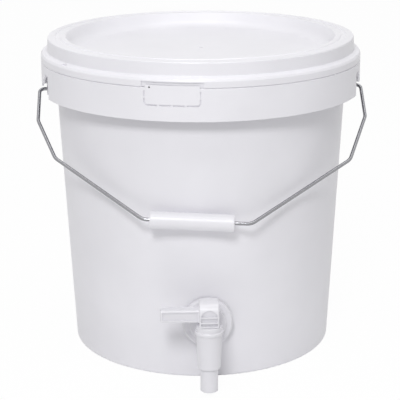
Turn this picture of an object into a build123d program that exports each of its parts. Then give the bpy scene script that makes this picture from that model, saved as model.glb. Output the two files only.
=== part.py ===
from build123d import *
from math import acos, asin, atan, atan2, cos, hypot, radians, sin
import os

# Plastic bucket with tap, in millimetres. The origin is the centre of the base underside,
# +Z is up, the tap looks towards -Y and the two handle ears lie on the X axis.
# Angles around the bucket are measured from the front (-Y), positive towards +X.

# How far a cutter reaches past a face, and how deep pieces of one moulding reach into each other
PAST = 5.0
INTO = 0.5

# Bucket wall and base
BASE_R = 134.05
WALL_TAPER = 0.0501
WALL = 2.0
BASE_CORNER_R = 3.0
FOOT_WIDTH = 7.0
BASE_PAD_R = 60.0
BASE_RECESS = 2.0
BASE_EDGE_R = 0.8
FLOOR = 2.4
FLOOR_CORNER_R = 4.0

# Collar: a skirt hung from a web, with ribs behind it
COLLAR_TOP = 297.2
COLLAR_DEPTH = 31.45
COLLAR_OVERHANG = 13.56
COLLAR_BEVEL = 0.9
SKIRT = 2.0
SKIRT_TRIM = 1.0
WEB = 2.2
WEB_CORNER_R = 0.8
RIB_COUNT = 12
RIB = 2.0
RIB_HEIGHT = 19.0
RIM_BEAD = 2.2
RIM_BEAD_HEIGHT = 6.0

# Handle ears: a boss with a round tongue of skirt over it, between two drooping lobes
PIVOT_DROP = 0.75
EAR_R = 6.5
EAR_INSET = 5.0
EAR_HOLE_DEPTH = 8.0
EAR_RIB = 3.0
EAR_TIE_RISE = 1.5
NOTCH_HALF_ANGLE = 20.0
NOTCH_HEIGHT = 23.0
TONGUE_R = 60.0
TONGUE_GAP = 2.75
LOBE_ANGLE = 25.3
LOBE_WIDTH = 30.0
LOBE_DROP = 4.25
LOBE_CORNER_R = 8.0

# Lid, from the skirt over the shoulder and rim to the sunken panel
PARTING = 0.25
LID_FOOT_BEVEL = 0.2
LID_WALL = 2.2
LID_RISE = 23.55
LID_SKIRT = 5.9
SHOULDER_RISE = 2.2
SHOULDER_INSET = 1.4
RIM_FOOT_RISE = 1.75
RIM_DRAFT = 0.8
BEAD_FIT = 1.0
LIP_FALL = 0.8
LIP_BAND = 7.2
LIP_GROOVE = 6.0
GROOVE_DEPTH = 0.9
GROOVE_EDGE_R = 0.7
LIP_CREST = 5.2
LIP_EDGE_R = 2.0
PANEL_DROP = 14.05
PANEL_INSET = 9.5
PANEL_CORNER_R = 15.0
DISH_R = 84.0
DISH_DROP = 0.8
LID_EDGE_R = 1.2
GATE_R = 2.0
GATE_HEIGHT = 0.5
DIMPLE_ANGLE = -57.4
DIMPLE_INSET = 3.4
DIMPLE_SIZE = (8.0, 3.0)
DIMPLE_DEPTH = 1.3

# Tamper tab: a plate that fills a window in the collar, with a tear groove round it
TAB_ANGLE = -11.6
TAB_WIDTH = 51.6
TAB_HEIGHT = 15.9
TAB_LIP_RISE = 2.3
TAB_LIP = 0.6
TAB_GROOVE = 1.3
TAB_CORNER_R = 2.6
TEAR_WEB = 0.7
BRIDGE = 2.2
TOP_BRIDGE = 3.2
SIDE_BRIDGE_RISE = 6.7
BOTTOM_BRIDGES = (-13.0, 0.0, 13.0)
TAB_HOLE_R = 0.9
TAB_HOLE_INSET = 4.3
TAB_HOLE_DROP = 2.1
LID_RECESS_WIDTH = 58.6
LID_RECESS = 1.5
LID_RECESS_HEIGHT = 5.2

# Wire handle: flat in the plane of the swing, bent round a circle that clears collar and lid
WIRE_R = 1.75
WIRE_FIT = 0.08
WIRE_END_GAP = 0.5
BAIL_SIDE_GAP = 1.0
BAIL_LID_GAP = 2.0
UPPER_LEG_ANGLE = 20.0
BAR_REACH = 180.514
BAR_HALF = 51.65
BAR_SHIFT = -10.0
BAR_TILT = 4.4
BEND_RADII = (5.0, 14.0, 14.0, 12.0)
GRIP_R = 8.25
GRIP_LENGTH = 80.6
GRIP_SHIFT = -4.6
GRIP_EDGE_R = 1.2
GRIP_WALL_GAP = 0.72

# Tap: shank through the wall, upright barrel in front of it
TAP_Z = 61.5
SHANK_R = 12.0
SHANK_HOLE_FIT = 0.3
SHANK_PAST_NUT = 11.2
SHANK_BORE_R = 7.0
OUTER_WASHER = 2.4
INNER_WASHER = 4.1
WASHER_R = 20.0
WASHER_FIT = 0.1
FLANGE_R = 24.5
FLANGE = 6.5
FLANGE_BEVEL = 1.6
DISC_R = 18.0
DISC = 4.0
DISC_BEVEL = 0.8
NECK_R = 7.5
NECK_BORE_R = 4.25
NECK_BORE_OVERLAP = 2.0
BARREL_REACH = 30.0
BARREL_TOP_R = 12.6
BARREL_BOTTOM_R = 10.9
BARREL_BOTTOM = 28.5
BARREL_TOP = 63.0
COLLAR_RING_R = 14.0
COLLAR_RING = 3.6
NECK_RING_R = 12.3
NECK_RING = 4.7
BARREL_EDGE_R = 0.8
BARREL_BORE_R = 9.0
MOUTH_GROWTH = 0.8
MOUTH_DEPTH = 2.5
NUT_ACROSS_FLATS = 38.0
NUT_THICKNESS = 8.0
NUT_FIT = 0.1

# Turning plug with the spout, its seals and the lever
PLUG_FIT = 0.1
PLUG_BORE_R = 6.5
PLUG_CAP = 1.6
SPOUT_R = 8.5
SPOUT_TOP_R = 8.7
SPOUT_BOTTOM = 4.6
SPOUT_STRAIGHT = 20.0
SPOUT_EDGE_R = 0.6
O_RING_WIRE_R = 0.7
O_RING_OFFSETS = (7.5, -9.5)
HUB_LIFT = 0.3
STEM = 9.0
STEM_HEIGHT = 14.4
STEM_FIT = 0.05
HUB = 19.0
HUB_HEIGHT = 23.9
HUB_BROW_R = 11.0
HUB_EDGE_R = 1.5
ARCH_R = 7.9
ARCH_DROP = 14.4
ARCH_DEPTH = 2.5
ARCH_RIB_OFFSETS = (0.7, -4.7)
ARCH_RIB = 1.6
LEVER_TIP = 46.4
LEVER_DEPTH = 11.0
LEVER_FOOT = 5.0
LEVER_HEIGHT = 11.6
LEVER_ROOT_DROP = 1.0
LEVER_BORDER = 2.2
LEVER_RECESS = 1.4
LEVER_EDGE_R = 1.5

os.makedirs("parts", exist_ok=True)


def wall_r(z):
    """Outside radius of the tapered wall at height z."""
    return BASE_R + WALL_TAPER * z


def turned(points, radii):
    """Solid of revolution about Z from (radius, height) corners, each with its own rounding."""
    edges = FilletPolyline(*points, radius=radii, close=True)
    return revolve(Plane.XZ * make_face(edges), Axis.Z)


def ring(r_out, r_in, z0, z1):
    """Plain upright ring."""
    return extrude(Plane.XY.offset(z0) * (Circle(r_out) - Circle(r_in)), z1 - z0)


def cylinder(r, z0, z1):
    """Plain upright cylinder on the Z axis."""
    return extrude(Plane.XY.offset(z0) * Circle(r), z1 - z0)


def rod(r, start, end):
    """Round rod between two points."""
    axis = Vector(*end) - Vector(*start)
    return extrude(Plane(origin=start, z_dir=axis) * Circle(r), axis.length)


def block(x0, x1, y0, y1, z0, z1):
    """Box from its six face positions."""
    centre = ((x0 + x1) / 2, (y0 + y1) / 2, (z0 + z1) / 2)
    return Pos(*centre) * Box(x1 - x0, y1 - y0, z1 - z0)


def foot_rounded(shape, radius):
    """Block with its two lower edges, which run from front to back, rounded."""
    return fillet(shape.edges().filter_by(Axis.Y).sort_by(Axis.Z)[:2], radius)


def around(angle, shape):
    """Shape drawn at the front, turned about Z to its angle around the bucket."""
    return Rot(0, 0, angle) * shape


def wall_cone(offset):
    """Everything inside the outer wall face moved inwards by offset, over the washers' height."""
    low, high = TAP_Z - 2 * WASHER_R, TAP_Z + 2 * WASHER_R
    cone = Solid.make_cone(wall_r(low) - offset, wall_r(high) - offset, high - low)
    return Pos(0, 0, low) * cone


# Heights and radii that several pieces share
collar_r = wall_r(COLLAR_TOP) + COLLAR_OVERHANG
collar_bottom = COLLAR_TOP - COLLAR_DEPTH
pivot_z = collar_bottom - PIVOT_DROP
lid_top = COLLAR_TOP + LID_RISE
lid_bottom = COLLAR_TOP + PARTING
rim_top = lid_top - LIP_FALL - LID_WALL
bead_r = wall_r(rim_top) + RIM_BEAD
web_under = COLLAR_TOP - WEB

# Bucket: wall, base, web, skirt and rim bead turned as one profile
floor_top = BASE_RECESS + FLOOR
bead_foot = rim_top - RIM_BEAD_HEIGHT
foot_r = BASE_R - FOOT_WIDTH
lobe_bottom = collar_bottom - LOBE_DROP
skirt_r = collar_r - SKIRT
bucket_profile = [
    (0, 0), (BASE_PAD_R, 0), (BASE_PAD_R + BASE_RECESS, BASE_RECESS), (foot_r, BASE_RECESS), (foot_r, 0),
    (wall_r(0), 0), (wall_r(web_under), web_under), (skirt_r, web_under), (skirt_r, lobe_bottom),
    (collar_r, lobe_bottom), (collar_r, COLLAR_TOP - COLLAR_BEVEL), (collar_r - COLLAR_BEVEL, COLLAR_TOP),
    (wall_r(COLLAR_TOP), COLLAR_TOP), (wall_r(bead_foot), bead_foot), (bead_r, bead_foot + RIM_BEAD),
    (bead_r, rim_top), (wall_r(rim_top) - WALL, rim_top), (wall_r(floor_top) - WALL, floor_top),
    (0, floor_top),
]
base_radii = [0, BASE_EDGE_R, BASE_EDGE_R, BASE_EDGE_R, BASE_EDGE_R, BASE_CORNER_R]
rim_radii = [WEB_CORNER_R] * 4 + [INTO, FLOOR_CORNER_R, 0]
bucket = turned(bucket_profile, base_radii + [WEB_CORNER_R, WEB_CORNER_R, 0, 0, 0, 0] + rim_radii)

rib_bottom = web_under - RIB_HEIGHT
rib_root = WALL / 2 - wall_r(rib_bottom)
rib = block(-RIB / 2, RIB / 2, SKIRT / 2 - collar_r, rib_root, rib_bottom, web_under + INTO)
rib_step = 360 / RIB_COUNT
bucket += [around((k + 0.5) * rib_step, rib) for k in range(RIB_COUNT)]

# Ears: the skirt is cut to lobes, a notch with its tongue, and a boss behind for the wire's end
notch_half = collar_r * sin(radians(NOTCH_HALF_ANGLE))
notch_back = PAST - collar_r * cos(radians(NOTCH_HALF_ANGLE))
notch_top = collar_bottom + NOTCH_HEIGHT
notch = block(-notch_half, notch_half, -collar_r - PAST, notch_back, lobe_bottom - PAST, notch_top)
tongue_bottom = pivot_z + WIRE_R + TONGUE_GAP
tongue_z = tongue_bottom + TONGUE_R
notch -= rod(TONGUE_R, (0, -collar_r - 2 * PAST, tongue_z), (0, 0, tongue_z))
notch -= cylinder(skirt_r - SKIRT_TRIM, 0, lid_top)
lobe_outline = RectangleRounded(LOBE_WIDTH, 2 * LOBE_WIDTH, LOBE_CORNER_R)
lobe_plane = Plane((0, -collar_r - PAST, lobe_bottom + LOBE_WIDTH), z_dir=(0, 1, 0))
lobe = extrude(lobe_plane * lobe_outline, LOBE_WIDTH)
lobe_angles = [side + step for side in (-90, 90) for step in (-LOBE_ANGLE, LOBE_ANGLE)]
trim = ring(collar_r + SKIRT_TRIM, skirt_r - SKIRT_TRIM, lobe_bottom - PAST, collar_bottom)
trim -= [around(angle, lobe) for angle in lobe_angles]
bucket -= trim
ear_face = collar_r - EAR_INSET
ear_root = WALL / 2 - wall_r(pivot_z)
ear = rod(EAR_R, (0, ear_root, pivot_z), (0, -ear_face, pivot_z))
half_rib = EAR_RIB / 2
ear += block(-half_rib, half_rib, -ear_face, ear_root, pivot_z, web_under + INTO)
tie_bottom = tongue_bottom + EAR_TIE_RISE
ear += block(-half_rib, half_rib, SKIRT / 2 - collar_r, INTO - ear_face, tie_bottom, web_under + INTO)
ear_hole = rod(WIRE_R + WIRE_FIT, (0, EAR_HOLE_DEPTH - ear_face, pivot_z), (0, -ear_face - PAST, pivot_z))
for side in (-90, 90):
    bucket -= around(side, notch)
    bucket += around(side, ear)
    bucket -= around(side, ear_hole)

# Window for the tamper tab, and the hole for the tap's shank
half_tab = TAB_WIDTH / 2
window_half = half_tab + TAB_GROOVE
tab_bottom = COLLAR_TOP - TAB_HEIGHT
window_sill = tab_bottom - TAB_GROOVE
window_front = -collar_r - PAST
window_back = SKIRT + PAST / 2 - collar_r
window = block(-window_half, window_half, window_front, window_back, window_sill, COLLAR_TOP + PAST)
window = foot_rounded(window, TAB_CORNER_R + TAB_GROOVE)
window -= cylinder(skirt_r - SKIRT_TRIM, 0, lid_top)
bucket -= around(TAB_ANGLE, window)
bucket -= rod(SHANK_R + SHANK_HOLE_FIT, (0, 0, TAP_Z), (0, -collar_r, TAP_Z))

# Tamper tab: the plate is grooved from outside, save for small bridges, and thinned above the collar
tab_top = COLLAR_TOP + TAB_LIP_RISE
tab = block(-window_half, window_half, window_front, window_back, window_sill, tab_top)
tab = foot_rounded(tab, TAB_CORNER_R + TAB_GROOVE)
tab &= ring(collar_r, skirt_r, window_sill - PAST, tab_top + PAST)
groove_half = window_half + PAST
groove_bottom = window_sill - PAST
half_bridge = BRIDGE / 2
groove = ring(collar_r + PAST, skirt_r + TEAR_WEB, groove_bottom, tab_top + PAST)
groove &= block(-groove_half, groove_half, window_front, window_back, groove_bottom, tab_top + PAST)
plate = block(-half_tab, half_tab, window_front - PAST, window_back, tab_bottom, tab_top + 2 * PAST)
groove -= foot_rounded(plate, TAB_CORNER_R)
for x in BOTTOM_BRIDGES:
    left, right = x - half_bridge, x + half_bridge
    groove -= block(left, right, window_front - PAST, window_back, groove_bottom - PAST, tab_top)
side_bridge = tab_bottom + SIDE_BRIDGE_RISE
side_bridges = [(side_bridge - half_bridge, side_bridge + half_bridge), (COLLAR_TOP - TOP_BRIDGE, COLLAR_TOP)]
for low, high in side_bridges:
    groove -= block(-groove_half - PAST, groove_half + PAST, window_front - PAST, window_back, low, high)
tab -= groove
tab -= ring(collar_r - TAB_LIP, skirt_r - PAST, COLLAR_TOP, tab_top + PAST)
hole_x = TAB_HOLE_INSET - half_tab
hole_z = tab_top - TAB_HOLE_DROP
tab -= rod(TAB_HOLE_R, (hole_x, window_front, hole_z), (hole_x, 0, hole_z))
tamper_tab = around(TAB_ANGLE, tab)

# Lid: one thin-walled profile, outside face first and then back along the underside
skirt_top = lid_bottom + LID_SKIRT
shoulder = (collar_r - SHOULDER_INSET, skirt_top + SHOULDER_RISE)
rim_top_r = bead_r + BEAD_FIT + LID_WALL
rim_foot = (rim_top_r + RIM_DRAFT, shoulder[1] + RIM_FOOT_RISE)
groove_out = rim_top_r - LIP_BAND
groove_in = groove_out - LIP_GROOVE
groove_z = lid_top - GROOVE_DEPTH
lip_r = groove_in - LIP_CREST
panel_r = lip_r - PANEL_INSET
panel_z = lid_top - PANEL_DROP
dish_z = panel_z - DISH_DROP
lid_inner_r = collar_r - LID_WALL
under = LID_WALL / 2
lid_profile = [
    (collar_r - LID_FOOT_BEVEL, lid_bottom), (collar_r, lid_bottom + LID_FOOT_BEVEL), (collar_r, skirt_top),
    shoulder, rim_foot, (rim_top_r, lid_top - LIP_FALL),
    (groove_out, lid_top), (groove_out - GROOVE_DEPTH, groove_z), (groove_in + GROOVE_DEPTH, groove_z),
    (groove_in, lid_top), (lip_r, lid_top), (panel_r, panel_z), (DISH_R, dish_z), (0, dish_z),
    (0, dish_z - LID_WALL), (DISH_R, dish_z - LID_WALL), (panel_r + under, panel_z - LID_WALL),
    (lip_r + LID_WALL, rim_top), (rim_top_r - LID_WALL, rim_top),
    (rim_foot[0] - LID_WALL, rim_foot[1] - under), (shoulder[0] - LID_WALL, shoulder[1] - under),
    (lid_inner_r, skirt_top - under), (lid_inner_r, lid_bottom),
]
lid_radii = [0, 0] + [LID_EDGE_R] * 4 + [GROOVE_EDGE_R] * 4 + [LIP_EDGE_R, PANEL_CORNER_R]
lid_radii += [0, 0, 0, 0, PANEL_CORNER_R + LID_WALL] + [GROOVE_EDGE_R] * 5 + [0]
lid = turned(lid_profile, lid_radii)
lid += cylinder(GATE_R, dish_z - INTO, dish_z + GATE_HEIGHT)
recess = ring(collar_r + PAST, collar_r - LID_RECESS, lid_bottom - PAST, lid_bottom + LID_RECESS_HEIGHT)
recess_half = LID_RECESS_WIDTH / 2
recess &= block(-recess_half, recess_half, window_front, window_back, lid_bottom - 2 * PAST, lid_top)
lid -= around(TAB_ANGLE, recess)
dimple_r = shoulder[0] - DIMPLE_INSET / 2
dimple_z = shoulder[1] + DIMPLE_INSET / 2 * RIM_FOOT_RISE / (shoulder[0] - rim_foot[0]) - DIMPLE_DEPTH
dimple = extrude(Plane((0, -dimple_r, dimple_z)) * SlotOverall(*DIMPLE_SIZE), PAST)
lid -= around(DIMPLE_ANGLE, dimple)

# Wire handle in its own plane: u runs across the bucket, v from the ears to the bar.
# It hangs at the angle where the grip all but touches the wall.
bail_side = collar_r + WIRE_R + BAIL_SIDE_GAP
lid_reach = max(hypot(r, z - pivot_z) for r, z in lid_profile[1:6])
clear_r = lid_reach + WIRE_R + BAIL_LID_GAP
lean = atan(WALL_TAPER)
rest = asin((wall_r(pivot_z) * cos(lean) + GRIP_R + GRIP_WALL_GAP) / BAR_REACH) - lean
bail_plane = Plane((0, 0, pivot_z), x_dir=(1, 0, 0), z_dir=(0, cos(rest), -sin(rest)))
upper_angle = radians(UPPER_LEG_ANGLE)
first_bend = (clear_r - bail_side * cos(upper_angle)) / sin(upper_angle)
tilt = radians(BAR_TILT)


def knee(bar_u, bar_v):
    """Corner where the upper leg meets the lower leg; both touch the clearance circle."""
    lower_angle = atan2(bar_v, bar_u) - acos(clear_r / hypot(bar_u, bar_v))
    reach = clear_r / cos((lower_angle - upper_angle) / 2)
    middle = (lower_angle + upper_angle) / 2
    return reach * cos(middle), reach * sin(middle)


bar_left = (BAR_SHIFT - BAR_HALF * cos(tilt), BAR_REACH - BAR_HALF * sin(tilt))
bar_right = (BAR_SHIFT + BAR_HALF * cos(tilt), BAR_REACH + BAR_HALF * sin(tilt))
knee_u, knee_v = knee(-bar_left[0], bar_left[1])
knee_left = (-knee_u, knee_v)
knee_right = knee(bar_right[0], bar_right[1])
wire_end = ear_face - EAR_HOLE_DEPTH + WIRE_END_GAP
left_half = [(-wire_end, 0), (-bail_side, 0), (-bail_side, first_bend), knee_left, bar_left]
right_half = [bar_right, knee_right, (bail_side, first_bend), (bail_side, 0), (wire_end, 0)]
bail_path = bail_plane * FilletPolyline(*left_half, *right_half, radius=BEND_RADII + BEND_RADII[::-1])
bail_wire = sweep(Plane(origin=bail_path @ 0, z_dir=bail_path % 0) * Circle(WIRE_R), path=bail_path)

# Grip threaded on the bar
grip_plane = bail_plane * Plane((BAR_SHIFT, BAR_REACH, 0), x_dir=(0, 0, 1), z_dir=(cos(tilt), sin(tilt), 0))
bail_grip = grip_plane * (Pos(0, 0, GRIP_SHIFT) * Cylinder(GRIP_R, GRIP_LENGTH))
bail_grip = fillet(bail_grip.edges().filter_by(GeomType.CIRCLE), GRIP_EDGE_R)
bail_grip -= grip_plane * Cylinder(WIRE_R + WIRE_FIT, GRIP_LENGTH * 2)

# Tap body: shank, flange, neck and barrel, one behind the other along the Y axis
wall_front = -wall_r(TAP_Z)
flange_back = wall_front - OUTER_WASHER
flange_front = flange_back - FLANGE
disc_front = flange_front - DISC
barrel_y = flange_front - BARREL_REACH
inner_seat = wall_front + WALL + INNER_WASHER
shank_back = inner_seat + NUT_THICKNESS + SHANK_PAST_NUT
flange = rod(FLANGE_R, (0, flange_back, TAP_Z), (0, flange_front, TAP_Z))
flange = chamfer(flange.faces().sort_by(Axis.Y)[0].edges(), FLANGE_BEVEL)
disc = rod(DISC_R, (0, flange_front, TAP_Z), (0, disc_front, TAP_Z))
disc = chamfer(disc.faces().sort_by(Axis.Y)[0].edges(), DISC_BEVEL)
collar_ring_top = BARREL_TOP + COLLAR_RING
neck_ring_top = collar_ring_top + NECK_RING
barrel_profile = [
    (0, BARREL_BOTTOM), (BARREL_BOTTOM_R, BARREL_BOTTOM), (BARREL_TOP_R, BARREL_TOP),
    (COLLAR_RING_R, BARREL_TOP + BARREL_EDGE_R), (COLLAR_RING_R, collar_ring_top),
    (NECK_RING_R, collar_ring_top), (NECK_RING_R, neck_ring_top), (0, neck_ring_top),
]
barrel_radii = [0, BARREL_EDGE_R, 0, INTO, BARREL_EDGE_R, INTO, BARREL_EDGE_R, 0]
barrel = Pos(0, barrel_y, 0) * turned(barrel_profile, barrel_radii)
tap_body = flange + disc + barrel
tap_body += rod(SHANK_R, (0, flange_back, TAP_Z), (0, shank_back, TAP_Z))
tap_body += rod(NECK_R, (0, disc_front, TAP_Z), (0, barrel_y, TAP_Z))
tap_body -= rod(SHANK_BORE_R, (0, shank_back, TAP_Z), (0, flange_front, TAP_Z))
tap_body -= rod(NECK_BORE_R, (0, flange_front + NECK_BORE_OVERLAP, TAP_Z), (0, barrel_y, TAP_Z))
mouth_top = BARREL_BOTTOM + MOUTH_DEPTH
tap_body -= Pos(0, barrel_y, 0) * cylinder(BARREL_BORE_R, BARREL_BOTTOM - PAST, neck_ring_top + PAST)
tap_body -= Pos(0, barrel_y, 0) * cylinder(BARREL_BORE_R + MOUTH_GROWTH, BARREL_BOTTOM - PAST, mouth_top)

# Washers follow the curved wall on one face and are flat on the other
shank_hole = rod(SHANK_R + NUT_FIT, (0, 0, TAP_Z), (0, -collar_r, TAP_Z))
washer = rod(WASHER_R, (0, flange_back, TAP_Z), (0, inner_seat, TAP_Z))
outer_gasket = washer - wall_cone(-WASHER_FIT) - shank_hole
inner_gasket = (washer & wall_cone(WALL + WASHER_FIT)) - shank_hole
nut_outline = RegularPolygon(NUT_ACROSS_FLATS / 2, 6, major_radius=False)
back_nut = extrude(Plane((0, inner_seat, TAP_Z), z_dir=(0, 1, 0)) * nut_outline, NUT_THICKNESS) - shank_hole

# Plug: hollow, ported on the side away from the lever, with the spout below and a square stem above
plug_r = BARREL_BORE_R - PLUG_FIT
hub_bottom = neck_ring_top + HUB_LIFT
plug_cap = hub_bottom - PLUG_CAP
plug_profile = [
    (PLUG_BORE_R, SPOUT_BOTTOM), (SPOUT_R, SPOUT_BOTTOM), (SPOUT_R, SPOUT_BOTTOM + SPOUT_STRAIGHT),
    (SPOUT_TOP_R, mouth_top), (plug_r, mouth_top + INTO), (plug_r, hub_bottom), (0, hub_bottom),
    (0, plug_cap), (PLUG_BORE_R, plug_cap),
]
plug = turned(plug_profile, [0, SPOUT_EDGE_R, 0, 0, 0, 0, 0, 0, SPOUT_EDGE_R])
o_rings = []
for offset in O_RING_OFFSETS:
    seal_z = TAP_Z + offset
    plug -= ring(plug_r + PAST, plug_r - 2 * O_RING_WIRE_R, seal_z - O_RING_WIRE_R, seal_z + O_RING_WIRE_R)
    o_rings.append(Pos(0, barrel_y, seal_z) * Torus(plug_r - O_RING_WIRE_R, O_RING_WIRE_R))
plug -= rod(NECK_BORE_R, (0, 0, TAP_Z), (plug_r + PAST, 0, TAP_Z))
stem_top = hub_bottom + STEM_HEIGHT
plug += block(-STEM / 2, STEM / 2, -STEM / 2, STEM / 2, hub_bottom - INTO, stem_top)
tap_plug = Pos(0, barrel_y, 0) * plug

# Lever: square head with a rounded brow and an arched recess in front, and an arm to the side
half_hub = HUB / 2
hub_top = hub_bottom + HUB_HEIGHT
hub_side = [(-half_hub, hub_bottom), (-half_hub, hub_top), (half_hub, hub_top), (half_hub, hub_bottom)]
hub_edges = FilletPolyline(*hub_side, radius=[0, HUB_BROW_R, HUB_EDGE_R, 0], close=True)
hub = extrude(Plane((-half_hub, 0, 0), x_dir=(0, 1, 0), z_dir=(1, 0, 0)) * make_face(hub_edges), HUB)
hub = fillet(hub.edges().filter_by(lambda e: abs(e.center().X) > half_hub - INTO / 2), HUB_EDGE_R)
arch_z = hub_top - ARCH_DROP
arch_floor = Plane((0, ARCH_DEPTH - half_hub, arch_z), x_dir=(1, 0, 0), z_dir=(0, -1, 0))
arch = Circle(ARCH_R) + Pos(0, -ARCH_R / 2) * Rectangle(2 * ARCH_R, ARCH_R)
hub -= extrude(arch_floor * arch, ARCH_DEPTH + PAST)
rib_front = INTO - half_hub
for offset in ARCH_RIB_OFFSETS:
    rib_z = arch_z + offset - ARCH_RIB / 2
    hub += block(-ARCH_R, ARCH_R, rib_front, rib_front + ARCH_DEPTH, rib_z, rib_z + ARCH_RIB)
half_depth = LEVER_DEPTH / 2
lever_bottom = hub_bottom + LEVER_FOOT
lever_top = lever_bottom + LEVER_HEIGHT
root_x = INTO - half_hub
arm_outline = Polyline((-LEVER_TIP, lever_bottom), (-LEVER_TIP, lever_top), (root_x, lever_top),
                       (root_x, lever_bottom - LEVER_ROOT_DROP), close=True)
arm_back = Plane((0, half_depth, 0), x_dir=(1, 0, 0), z_dir=(0, -1, 0))
arm = extrude(arm_back * make_face(arm_outline), LEVER_DEPTH)
arm = fillet(arm.edges().filter_by(lambda e: e.center().X < root_x - INTO), LEVER_EDGE_R)
panel_tip = LEVER_BORDER - LEVER_TIP
panel_end = -half_hub - LEVER_EDGE_R
panel_bottom = lever_bottom + LEVER_BORDER
panel_top = lever_top - LEVER_BORDER
panel_outline = Polyline((panel_tip, panel_bottom), (panel_tip, panel_top), (panel_end, panel_top),
                         (panel_end, panel_bottom - LEVER_ROOT_DROP), close=True)
panel_floor = Plane((0, LEVER_RECESS - half_depth, 0), x_dir=(1, 0, 0), z_dir=(0, -1, 0))
arm -= extrude(panel_floor * make_face(panel_outline), PAST)
lever = hub + arm
socket_half = STEM / 2 + STEM_FIT
lever -= block(-socket_half, socket_half, -socket_half, socket_half, hub_bottom - PAST, stem_top + STEM_FIT)
tap_lever = Pos(0, barrel_y, 0) * lever

nodes = {
    "bucket": bucket,
    "tamper_tab": tamper_tab,
    "lid": lid,
    "bail_wire": bail_wire,
    "bail_grip": bail_grip,
    "tap_body": tap_body,
    "outer_gasket": outer_gasket,
    "inner_gasket": inner_gasket,
    "back_nut": back_nut,
    "tap_plug": tap_plug,
    "tap_lever": tap_lever,
    "plug_o_ring_upper": o_rings[0],
    "plug_o_ring_lower": o_rings[1],
}
for name, shape in nodes.items():
    export_step(shape, f"parts/{name}.step")
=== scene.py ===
import math

import bpy
import numpy as np
from mathutils import Matrix, Vector

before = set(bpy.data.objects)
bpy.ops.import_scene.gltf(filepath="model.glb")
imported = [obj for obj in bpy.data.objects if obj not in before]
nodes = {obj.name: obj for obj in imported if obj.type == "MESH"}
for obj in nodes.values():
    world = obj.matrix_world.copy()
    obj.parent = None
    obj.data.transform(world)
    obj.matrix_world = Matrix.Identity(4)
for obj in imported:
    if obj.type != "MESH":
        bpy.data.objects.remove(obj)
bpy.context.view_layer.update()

# Tub
# A tapered pail moulded in one shot from white high-density polyethylene, with its collar, ears,
# base and tear-off tab. The skin is satin, a little cloudy, and shows faint upright draw.
cloud_mm = 90
cloud_detail = 3.0
cloud_span = (0.3, 0.7)
gloss_spread = 0.05
# Real draw marks are too fine to show in the render, so these are drawn several times as wide.
draw_mm = 6
draw_detail = 4.0
draw_stretch = (1.0, 1.0, 0.12)
draw_strength = 0.12
draw_depth = 0.0004
plastic_ior = 1.53


def linear(code):
    """sRGB hex colour to linear RGBA: the low end is divided by 12.92, the rest follows a 2.4 power."""
    srgb = np.array([int(code[k:k + 2], 16) for k in (1, 3, 5)]) / 255
    value = np.where(srgb <= 0.04045, srgb / 12.92, ((srgb + 0.055) / 1.055) ** 2.4)
    return (*value, 1.0)


def add(tree, kind, inputs, **settings):
    """New node in the tree with its settings; an input that is a socket is linked, any other is a value."""
    made = tree.nodes.new(kind)
    for name, value in settings.items():
        setattr(made, name, value)
    for name, value in inputs.items():
        if isinstance(value, bpy.types.NodeSocket):
            tree.links.new(value, made.inputs[name])
        else:
            made.inputs[name].default_value = value
    return made


def per_metre(millimetres):
    """Texture scale, in repeats per metre, for a pattern of that size."""
    return 1000 / millimetres


def tinted(name, light, dark, grain_mm, detail, span=(0.0, 1.0)):
    """New material, dark to light over the span of a noise of that grain, with its place and noise."""
    made = bpy.data.materials.new(name)
    made.use_nodes = True
    tree = made.node_tree
    place = add(tree, "ShaderNodeTexCoord", {}).outputs["Object"]
    noise = add(tree, "ShaderNodeTexNoise", {
        "Vector": place, "Scale": per_metre(grain_mm), "Detail": detail})
    grain = noise.outputs["Fac"]
    tint = add(tree, "ShaderNodeValToRGB", {"Fac": grain})
    for stop, position, code in zip(tint.color_ramp.elements, span, (dark, light)):
        stop.position = position
        stop.color = linear(code)
    tree.links.new(tint.outputs["Color"], tree.nodes["Principled BSDF"].inputs["Base Color"])
    return made, place, grain


def moulded_plastic(name, light, dark, roughness):
    """Satin plastic: clouds of two near whites, gloss from those clouds, upright draw in the bump."""
    made, place, clouds = tinted(name, light, dark, cloud_mm, cloud_detail, cloud_span)
    tree = made.node_tree
    shader = tree.nodes["Principled BSDF"]
    gloss = add(tree, "ShaderNodeMapRange", {
        "Value": clouds, "To Min": roughness - gloss_spread, "To Max": roughness + gloss_spread})
    drawn = add(tree, "ShaderNodeMapping", {"Vector": place, "Scale": draw_stretch})
    draw = add(tree, "ShaderNodeTexNoise", {
        "Vector": drawn.outputs["Vector"], "Scale": per_metre(draw_mm), "Detail": draw_detail})
    relief = add(tree, "ShaderNodeBump", {
        "Height": draw.outputs["Fac"], "Strength": draw_strength, "Distance": draw_depth})
    tree.links.new(gloss.outputs["Result"], shader.inputs["Roughness"])
    tree.links.new(relief.outputs["Normal"], shader.inputs["Normal"])
    shader.inputs["IOR"].default_value = plastic_ior
    return made


def finish_with(material, *names):
    """Puts the material on these CAD nodes in place of their packed finish."""
    for name in names:
        nodes[name].data.materials.clear()
        nodes[name].data.materials.append(material)


tub_white = moulded_plastic("white_polyethylene_tub", light="#EDECF1", dark="#E6E5EA", roughness=0.38)
finish_with(tub_white, "bucket", "tamper_tab")

# Lid
# A press-on lid from the same polyethylene, moulded a little glossier than the tub.
# Its raised rim sits over the bead of the tub and keeps a load from sliding off the sunken panel.
lid_white = moulded_plastic("white_polyethylene_lid", light="#EBEAEF", dark="#E5E4E9", roughness=0.32)
finish_with(lid_white, "lid")

# Tap
# A body with flange and barrel, a plug, a lever and a back nut, moulded in white polypropylene
# and smoother than the tub. The flange and nut clamp the wall between two washers.
tap_white = moulded_plastic("white_polypropylene_tap", light="#E6E5EA", dark="#DFDEE3", roughness=0.30)
finish_with(tap_white, "tap_body", "tap_plug", "tap_lever", "back_nut")

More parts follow.
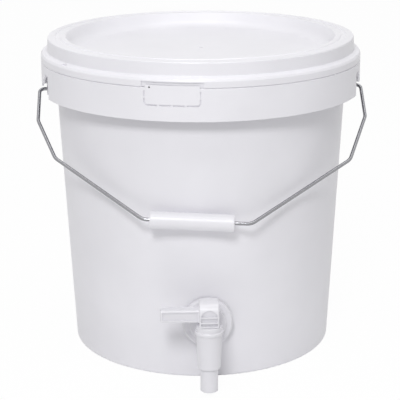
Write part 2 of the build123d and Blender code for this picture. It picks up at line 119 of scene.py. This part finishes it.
# Seals
# Two washers and two small rings moulded in grey nitrile rubber, matte and slightly dusty.
# The washers close the hole in the wall, and the rings sit in grooves of the plug.
# Real dust is too fine to show in the render, so the speckle is drawn coarser.
speckle_mm = 1.2
speckle_detail = 2.0
speckle_strength = 0.2
speckle_depth = 0.0002
rubber_roughness = 0.75


def nitrile_rubber(name, light, dark):
    """Matte rubber: fine speckle in the tint and a grainy bump about a millimetre across."""
    made, _, speckle = tinted(name, light, dark, speckle_mm, speckle_detail)
    tree = made.node_tree
    shader = tree.nodes["Principled BSDF"]
    relief = add(tree, "ShaderNodeBump", {
        "Height": speckle, "Strength": speckle_strength, "Distance": speckle_depth})
    tree.links.new(relief.outputs["Normal"], shader.inputs["Normal"])
    shader.inputs["Roughness"].default_value = rubber_roughness
    return made


seal_grey = nitrile_rubber("grey_nitrile_rubber", light="#6A6A6C", dark="#525255")
finish_with(seal_grey, "outer_gasket", "inner_gasket", "plug_o_ring_upper", "plug_o_ring_lower")

# Bail
# Stainless wire, three and a half millimetres thick, drawn bright and bent cold.
# Its two ends hook into the ears, and a plain tube of white polyethylene slips over the bar.
# Real marks of the die are too fine to show in the render, so these are drawn far coarser.
mark_mm = 5
mark_detail = 4.0
steel_gloss = (0.18, 0.25)


def drawn_steel(name, light, dark):
    """Bright drawn steel: metal with marks a few millimetres across that change its tint and gloss."""
    made, _, marks = tinted(name, light, dark, mark_mm, mark_detail)
    tree = made.node_tree
    shader = tree.nodes["Principled BSDF"]
    smooth, dull = steel_gloss
    gloss = add(tree, "ShaderNodeMapRange", {"Value": marks, "To Min": smooth, "To Max": dull})
    tree.links.new(gloss.outputs["Result"], shader.inputs["Roughness"])
    shader.inputs["Metallic"].default_value = 1.0
    return made


wire_bright = drawn_steel("drawn_stainless_wire", light="#9C9C9F", dark="#909094")
finish_with(wire_bright, "bail_wire")
grip_white = moulded_plastic("white_polyethylene_grip", light="#EAE9EE", dark="#E4E3E8", roughness=0.34)
finish_with(grip_white, "bail_grip")

# Floor and backdrop
# A white studio sweep in a white room: to the camera it is plain white with a faint shadow
# under the pail, and the wire mirrors it. What falls on the pail is the room's own, lower light.
floor_half = 4.0
floor_roughness = 0.9
plain_share = 0.97
room_light = 0.4
white = (1.0, 1.0, 1.0, 1.0)
corners = np.array([(-1, -1, 0), (1, -1, 0), (1, 1, 0), (-1, 1, 0)]) * floor_half
floor_mesh = bpy.data.meshes.new("studio_floor")
floor_mesh.from_pydata(corners.tolist(), [], [(0, 1, 2, 3)])
floor = bpy.data.objects.new("studio_floor", floor_mesh)
bpy.context.collection.objects.link(floor)


def shows_backdrop(tree):
    """1 for a ray that shows the backdrop, also in a mirror or glass, and 0 for light on the pail."""
    path = add(tree, "ShaderNodeLightPath", {}).outputs
    mirrored = add(tree, "ShaderNodeMath", {0: path["Is Glossy Ray"], 1: path["Is Transmission Ray"]},
                   operation="MAXIMUM")
    seen = add(tree, "ShaderNodeMath", {0: path["Is Camera Ray"], 1: mirrored.outputs["Value"]},
               operation="MAXIMUM")
    return seen.outputs["Value"]


floor_white = bpy.data.materials.new("white_studio_sweep")
floor_white.use_nodes = True
tree = floor_white.node_tree
paint = tree.nodes["Principled BSDF"]
paint.inputs["Base Color"].default_value = linear("#F4F4F4")
paint.inputs["Roughness"].default_value = floor_roughness
share = add(tree, "ShaderNodeMath", {0: shows_backdrop(tree), 1: plain_share}, operation="MULTIPLY")
glow = add(tree, "ShaderNodeEmission", {"Color": white, "Strength": 1.0})
blend = add(tree, "ShaderNodeMixShader", {
    0: share.outputs["Value"], 1: paint.outputs["BSDF"], 2: glow.outputs["Emission"]})
tree.links.new(blend.outputs["Shader"], tree.nodes["Material Output"].inputs["Surface"])
floor_mesh.materials.append(floor_white)

world = bpy.data.worlds.new("white_room")
bpy.context.scene.world = world
world.use_nodes = True
tree = world.node_tree
ambient = add(tree, "ShaderNodeMapRange", {
    "Value": shows_backdrop(tree), "To Min": room_light, "To Max": 1.0})
sky = tree.nodes["Background"]
sky.inputs["Color"].default_value = white
tree.links.new(ambient.outputs["Result"], sky.inputs["Strength"])


# Lamps
# A soft panel in front of the pail and above it, a little to the left, throws the collar's shadow.
# A wider one overhead lights the lid, and the white room gives the rest.
def panel(name, place, target, size, power):
    """Square area lamp that faces the target."""
    lamp = bpy.data.lights.new(name, "AREA")
    lamp.size = size
    lamp.energy = power
    held = bpy.data.objects.new(name, lamp)
    held.location = place
    held.rotation_euler = (Vector(target) - Vector(place)).to_track_quat("-Z", "Y").to_euler()
    bpy.context.collection.objects.link(held)


panel("key_panel", place=(-0.38, -2.1, 1.85), target=(0.0, 0.0, 0.2), size=0.6, power=29.0)
panel("top_panel", place=(0.0, -0.3, 2.2), target=(0.0, 0.0, 0.3), size=1.4, power=14.0)

# Camera
# Worked out from the ellipses of the base, collar and rim. It stands a little to the left of
# the tap, about one and a half metres from the middle of the pail, and looks down on the lid.
image_size = 400
focal_px = 1398.777
sensor_width = 36.0
camera_turn = math.radians(2.2)
camera_back = 1.415851
camera_height = 0.561223
pitch = math.radians(16.445)
aim_turn = math.radians(-0.056)
roll = math.radians(-0.301)
heading = camera_turn + aim_turn
level_share = math.cos(pitch)
forward = Vector((math.sin(heading) * level_share, math.cos(heading) * level_share, -math.sin(pitch)))
level_right = Vector((math.cos(heading), -math.sin(heading), 0.0))
level_up = level_right.cross(forward)
right = level_right * math.cos(roll) + level_up * math.sin(roll)
up = level_up * math.cos(roll) - level_right * math.sin(roll)
lens = bpy.data.cameras.new("photo_camera")
lens.sensor_width = sensor_width
lens.lens = focal_px / image_size * sensor_width
camera = bpy.data.objects.new("photo_camera", lens)
camera.matrix_world = Matrix((right, up, -forward)).transposed().to_4x4()
camera.location = (-camera_back * math.sin(camera_turn), -camera_back * math.cos(camera_turn), camera_height)
bpy.context.collection.objects.link(camera)
bpy.context.scene.camera = camera
bpy.context.scene.view_settings.view_transform = "Standard"
